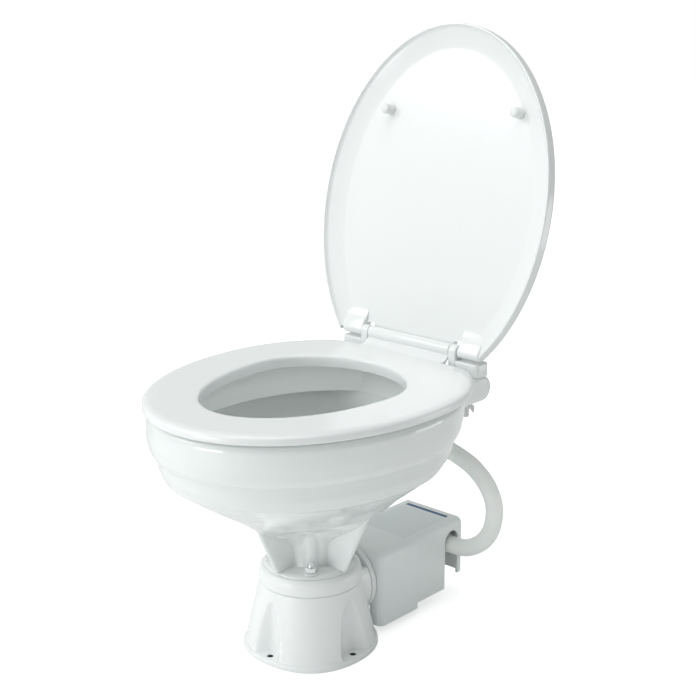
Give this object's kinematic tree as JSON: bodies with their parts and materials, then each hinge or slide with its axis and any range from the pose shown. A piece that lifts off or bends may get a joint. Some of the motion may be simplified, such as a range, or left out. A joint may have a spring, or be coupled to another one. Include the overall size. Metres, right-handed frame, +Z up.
{
  "type": "electric marine toilet",
  "caption": "Compact electric marine toilet: oval china bowl on a tapering pedestal, hinged seat and lid, rear macerator and flush pump under a cover, side rinse hose.",
  "frame": {"origin": "centre of the pedestal's underside, on the floor", "axes": "+Z up, -Y towards the front of the bowl, +Y towards the hinge and pump, +X to the right of someone facing the toilet"},
  "size_m": [0.3712, 0.5265, 0.783],
  "materials": {
    "china": "glazed white",
    "seat_plastic": "gloss white",
    "base_plastic": "semi-gloss white",
    "cover_plastic": "satin white",
    "housing_plastic": "satin white",
    "impeller_plastic": "natural",
    "white_rubber": "off-white",
    "hose_rubber": "off-white satin",
    "black_rubber": "black",
    "stainless": "brushed",
    "bearing_steel": "ground",
    "motor_steel": "black paint",
    "magnet_ceramic": "sintered",
    "copper": "enamelled wire"
  },
  "bodies": {
    "toilet": {"base": "base_plastic", "bowl_collar": "base_plastic", "bowl_gasket": "black_rubber", "bowl": "china", "bowl_stud_1": "stainless", "bowl_stud_2": "stainless", "bowl_stud_3": "stainless", "bowl_stud_4": "stainless", "bowl_washer_1": "white_rubber", "bowl_washer_2": "white_rubber", "bowl_washer_3": "white_rubber", "bowl_washer_4": "white_rubber", "bowl_nut_1": "stainless", "bowl_nut_2": "stainless", "bowl_nut_3": "stainless", "bowl_nut_4": "stainless", "hinge_block_right": "seat_plastic", "hinge_block_left": "seat_plastic", "hinge_pin_right": "stainless", "hinge_pin_left": "stainless", "hinge_bolt_right": "stainless", "hinge_bolt_left": "stainless", "hinge_washer_right": "white_rubber", "hinge_washer_left": "white_rubber", "hinge_wing_nut_right": "seat_plastic", "hinge_wing_nut_left": "seat_plastic", "housing_gasket": "black_rubber", "macerator_housing": "housing_plastic", "joker_valve": "black_rubber", "discharge_spigot": "housing_plastic", "shaft_seal": "black_rubber", "motor_casing": "motor_steel", "field_ring": "magnet_ceramic", "motor_end_cap": "motor_steel", "front_bearing": "bearing_steel", "rear_bearing": "bearing_steel", "cable_gland": "black_rubber", "flush_pump_housing": "housing_plastic", "flush_pump_plate": "housing_plastic", "rinse_hose": "hose_rubber", "bowl_inlet_elbow": "housing_plastic", "inlet_seal": "black_rubber", "hose_clip_1": "stainless", "hose_clip_2": "stainless", "pump_cover": "cover_plastic"},
    "seat": {"seat": "seat_plastic", "seat_bumper_1": "white_rubber", "seat_bumper_2": "white_rubber", "seat_bumper_3": "white_rubber", "seat_bumper_4": "white_rubber"},
    "lid": {"lid": "seat_plastic", "lid_bumper_1": "white_rubber", "lid_bumper_2": "white_rubber"},
    "rotor": {"motor_shaft": "stainless", "macerator_blade": "bearing_steel", "discharge_impeller": "impeller_plastic", "armature": "copper", "flush_impeller": "black_rubber"}
  },
  "joints": [
    {"name": "lid_hinge", "type": "hinge", "parent": "toilet", "child": "lid", "pos_m": [0, 0.1972, 0.3695], "axis": [-1, 0, 0], "range_deg": [-103.4, 0]},
    {"name": "seat_hinge", "type": "hinge", "parent": "toilet", "child": "seat", "pos_m": [0, 0.1972, 0.3695], "axis": [-1, 0, 0], "range_deg": [0, 100]},
    {"name": "pump_spin", "type": "hinge", "parent": "toilet", "child": "rotor", "pos_m": [0, 0.15, 0.068], "axis": [0, 1, 0], "continuous": true}
  ]
}
